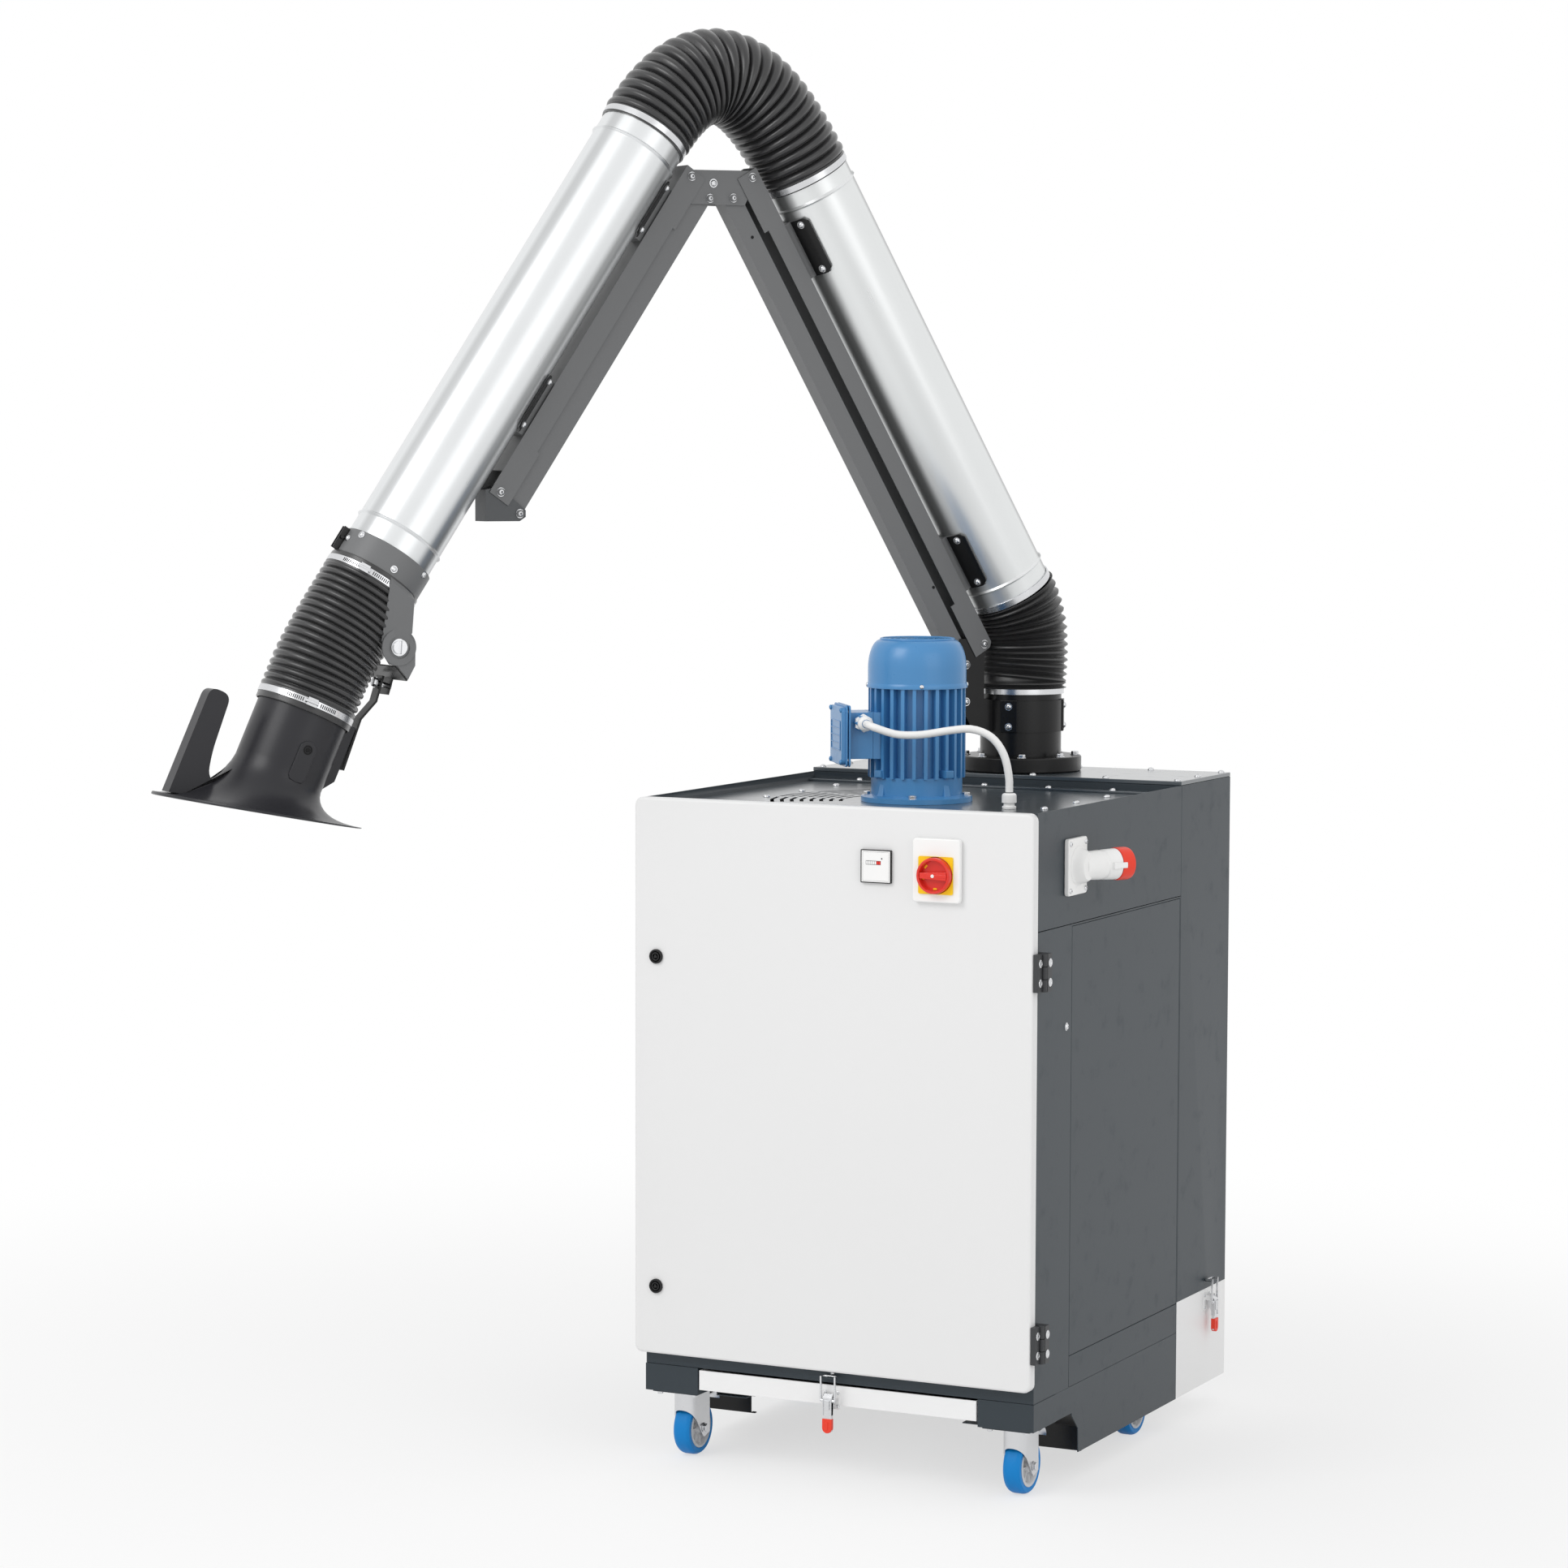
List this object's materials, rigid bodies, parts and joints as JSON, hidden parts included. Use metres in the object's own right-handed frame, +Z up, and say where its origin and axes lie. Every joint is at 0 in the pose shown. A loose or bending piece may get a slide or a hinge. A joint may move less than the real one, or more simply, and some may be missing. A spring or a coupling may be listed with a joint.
{
  "type": "mobile welding fume extractor",
  "caption": "Wheeled filter cabinet with a lockable door, pull-out dust tray, rear bin and top fan motor, carrying a jointed duct arm with a bell hood.",
  "frame": {"origin": "middle of the whole object's footprint, on the floor", "axes": "+Z up; -Y is the cabinet's front, where the door is; +X is the cabinet's right side, seen from the front"},
  "size_m": [1.5415, 1.6159, 2.5848],
  "materials": {
    "white_paint": "satin white powder coat",
    "slate_paint": "fine-textured slate grey powder coat",
    "black_paint": "satin black powder coat",
    "grey_paint": "satin dark grey powder coat",
    "motor_paint": "satin blue enamel",
    "galvanised": "galvanised sheet",
    "bright_zinc": "bright zinc plate",
    "black_plastic": "moulded black",
    "white_plastic": "moulded white",
    "red_plastic": "moulded red",
    "blue_tyre": "blue elastic tread",
    "black_fabric": "coated black hose fabric",
    "filter_paper": "pleated filter media"
  },
  "bodies": {
    "cabinet": {"base_frame": "slate_paint", "filter_housing": "slate_paint", "fan_housing": "slate_paint", "side_panel": "slate_paint", "deck_plate": "slate_paint", "rear_cover": "slate_paint", "motor_body": "motor_paint", "fan_cowl": "motor_paint", "terminal_box": "motor_paint", "motor_cable": "white_plastic", "deck_gland": "white_plastic", "power_inlet": "white_plastic", "filter_cartridge": "filter_paper", "upper_hinge_body_leaf": "black_plastic", "lower_hinge_body_leaf": "black_plastic", "rear_left_fork": "bright_zinc", "rear_right_fork": "bright_zinc", "swivel_ring": "black_paint"},
    "door": {"door_panel": "white_paint", "upper_hinge_door_leaf": "black_plastic", "lower_hinge_door_leaf": "black_plastic", "switch_plate": "white_plastic", "hour_meter": "white_plastic"},
    "main_switch": {"switch_knob": "red_plastic"},
    "upper_lock": {"upper_door_lock": "black_plastic"},
    "lower_lock": {"lower_door_lock": "black_plastic"},
    "tray": {"dust_tray": "white_paint"},
    "tray_lever": {"tray_latch_lever": "bright_zinc"},
    "tray_bail": {"tray_latch_bail": "bright_zinc"},
    "bin": {"rear_bin": "white_paint"},
    "bin_lever": {"bin_latch_lever": "bright_zinc"},
    "bin_bail": {"bin_latch_bail": "bright_zinc"},
    "front_left_caster": {"front_left_fork": "bright_zinc"},
    "front_left_roller": {"front_left_wheel": "blue_tyre"},
    "front_left_brake": {"front_left_brake_pedal": "bright_zinc"},
    "front_right_caster": {"front_right_fork": "bright_zinc"},
    "front_right_roller": {"front_right_wheel": "blue_tyre"},
    "front_right_brake": {"front_right_brake_pedal": "bright_zinc"},
    "rear_left_roller": {"rear_left_wheel": "blue_tyre"},
    "rear_right_roller": {"rear_right_wheel": "blue_tyre"},
    "fan": {"impeller": "galvanised"},
    "column": {"column_pipe": "black_paint", "column_bracket": "black_paint", "base_hose": "black_fabric"},
    "lower_arm": {"lower_beam": "grey_paint", "lower_tube": "galvanised", "elbow_hose_lower": "black_fabric"},
    "lower_strut": {"lower_link": "grey_paint"},
    "elbow": {"elbow_bracket": "black_paint"},
    "fore_arm": {"fore_beam": "grey_paint", "fore_tube": "galvanised", "hood_collar": "black_paint", "elbow_hose_upper": "black_fabric", "hood_hose_upper": "black_fabric"},
    "fore_strut": {"fore_link": "grey_paint"},
    "arm_end": {"end_bracket": "black_paint"},
    "hood_tilter": {"hood_fork": "black_paint"},
    "hood_body": {"hood": "black_plastic", "hood_strap": "black_paint", "hood_hose_lower": "black_fabric"}
  },
  "joints": [
    {"name": "column_swivel", "type": "hinge", "parent": "cabinet", "child": "column", "pos_m": [0.289, 0.6784, 1.3], "axis": [0, 0, 1], "range_deg": [-170, 170]},
    {"name": "lower_arm_lift", "type": "hinge", "parent": "column", "child": "lower_arm", "pos_m": [0.23392, 0.59674, 1.4567], "axis": [-0.829, 0.5592, 0], "range_deg": [-35, 30], "deforming": ["base_hose"]},
    {"name": "lower_strut_swing", "type": "hinge", "parent": "column", "child": "lower_strut", "pos_m": [0.21239, 0.56482, 1.4182], "axis": [-0.829, 0.5592, 0], "range_deg": [-35, 30]},
    {"name": "elbow_level", "type": "hinge", "parent": "lower_arm", "child": "elbow", "pos_m": [-0.04905, 0.17722, 2.31921], "axis": [-0.829, 0.5592, 0], "range_deg": [-30, 35], "deforming": ["elbow_hose_lower"]},
    {"name": "forearm_lift", "type": "hinge", "parent": "elbow", "child": "fore_arm", "pos_m": [-0.11923, 0.07317, 2.31721], "axis": [-0.829, 0.5592, 0], "range_deg": [-20, 50], "deforming": ["elbow_hose_upper"]},
    {"name": "fore_strut_swing", "type": "hinge", "parent": "elbow", "child": "fore_strut", "pos_m": [-0.0977, 0.10509, 2.27871], "axis": [-0.829, 0.5592, 0], "range_deg": [-20, 50]},
    {"name": "arm_end_level", "type": "hinge", "parent": "fore_arm", "child": "arm_end", "pos_m": [-0.33433, -0.24573, 1.748], "axis": [-0.829, 0.5592, 0], "range_deg": [-50, 20]},
    {"name": "hood_tilt", "type": "hinge", "parent": "fore_arm", "child": "hood_tilter", "pos_m": [-0.45968, -0.43156, 1.47899], "axis": [-0.829, 0.5592, 0], "range_deg": [-40, 40], "deforming": ["hood_hose_upper"]},
    {"name": "hood_swing", "type": "hinge", "parent": "hood_tilter", "child": "hood_body", "pos_m": [-0.45266, -0.42116, 1.40749], "axis": [-0.5333, -0.7907, 0.3007], "range_deg": [-30, 30], "deforming": ["hood_hose_lower"]},
    {"name": "door_hinge", "type": "hinge", "parent": "cabinet", "child": "door", "pos_m": [0.6835, -0.1277, 0.6075], "axis": [0, 0, 1], "range_deg": [0, 120]},
    {"name": "main_switch_turn", "type": "hinge", "parent": "door", "child": "main_switch", "pos_m": [0.493, -0.148, 1.093], "axis": [0, 1, 0], "range_deg": [0, 90]},
    {"name": "upper_lock_turn", "type": "hinge", "parent": "door", "child": "upper_lock", "pos_m": [-0.06, -0.148, 0.9206], "axis": [0, 1, 0], "range_deg": [0, 90]},
    {"name": "lower_lock_turn", "type": "hinge", "parent": "door", "child": "lower_lock", "pos_m": [-0.06, -0.148, 0.3239], "axis": [0, 1, 0], "range_deg": [0, 90]},
    {"name": "tray_slide", "type": "slide", "parent": "cabinet", "child": "tray", "axis": [0, -1, 0], "range_m": [0, 0.45]},
    {"name": "tray_lever_lift", "type": "hinge", "parent": "tray", "child": "tray_lever", "pos_m": [0.283, -0.141, 0.157], "axis": [-1, 0, 0], "range_deg": [0, 115]},
    {"name": "tray_bail_swing", "type": "hinge", "parent": "tray_lever", "child": "tray_bail", "pos_m": [0.283, -0.147, 0.149], "axis": [-1, 0, 0], "range_deg": [-149.5, 0]},
    {"name": "bin_slide", "type": "slide", "parent": "cabinet", "child": "bin", "axis": [0, 1, 0], "range_m": [0, 0.3]},
    {"name": "bin_lever_lift", "type": "hinge", "parent": "bin", "child": "bin_lever", "pos_m": [0.68, 0.707, 0.219], "axis": [0, -1, 0], "range_deg": [0, 115]},
    {"name": "bin_bail_swing", "type": "hinge", "parent": "bin_lever", "child": "bin_bail", "pos_m": [0.686, 0.707, 0.211], "axis": [0, -1, 0], "range_deg": [-149.5, 0]},
    {"name": "front_left_caster_swivel", "type": "hinge", "parent": "cabinet", "child": "front_left_caster", "pos_m": [-0.0365, -0.076, 0.11], "axis": [0, 0, 1], "continuous": true},
    {"name": "front_left_wheel_spin", "type": "hinge", "parent": "front_left_caster", "child": "front_left_roller", "pos_m": [-0.0365, -0.05, 0.05], "axis": [1, 0, 0], "continuous": true},
    {"name": "front_left_brake_press", "type": "hinge", "parent": "front_left_caster", "child": "front_left_brake", "pos_m": [-0.0365, -0.02, 0.098], "axis": [1, 0, 0], "range_deg": [-12, 0]},
    {"name": "rear_left_wheel_spin", "type": "hinge", "parent": "cabinet", "child": "rear_left_roller", "pos_m": [-0.0365, 0.454, 0.05], "axis": [1, 0, 0], "continuous": true},
    {"name": "front_right_caster_swivel", "type": "hinge", "parent": "cabinet", "child": "front_right_caster", "pos_m": [0.6145, -0.076, 0.11], "axis": [0, 0, 1], "continuous": true},
    {"name": "front_right_wheel_spin", "type": "hinge", "parent": "front_right_caster", "child": "front_right_roller", "pos_m": [0.6145, -0.05, 0.05], "axis": [1, 0, 0], "continuous": true},
    {"name": "front_right_brake_press", "type": "hinge", "parent": "front_right_caster", "child": "front_right_brake", "pos_m": [0.6145, -0.02, 0.098], "axis": [1, 0, 0], "range_deg": [-12, 0]},
    {"name": "rear_right_wheel_spin", "type": "hinge", "parent": "cabinet", "child": "rear_right_roller", "pos_m": [0.6145, 0.454, 0.05], "axis": [1, 0, 0], "continuous": true},
    {"name": "fan_spin", "type": "hinge", "parent": "cabinet", "child": "fan", "pos_m": [0.289, 0.202, 1.2], "axis": [0, 0, 1], "continuous": true}
  ],
  "couplings": [
    {"joint": "lower_strut_swing", "follows": "lower_arm_lift", "ratio": 1},
    {"joint": "elbow_level", "follows": "lower_arm_lift", "ratio": -1},
    {"joint": "fore_strut_swing", "follows": "forearm_lift", "ratio": 1},
    {"joint": "arm_end_level", "follows": "forearm_lift", "ratio": -1},
    {"joint": "tray_bail_swing", "follows": "tray_lever_lift", "ratio": -1.3},
    {"joint": "bin_bail_swing", "follows": "bin_lever_lift", "ratio": -1.3}
  ]
}
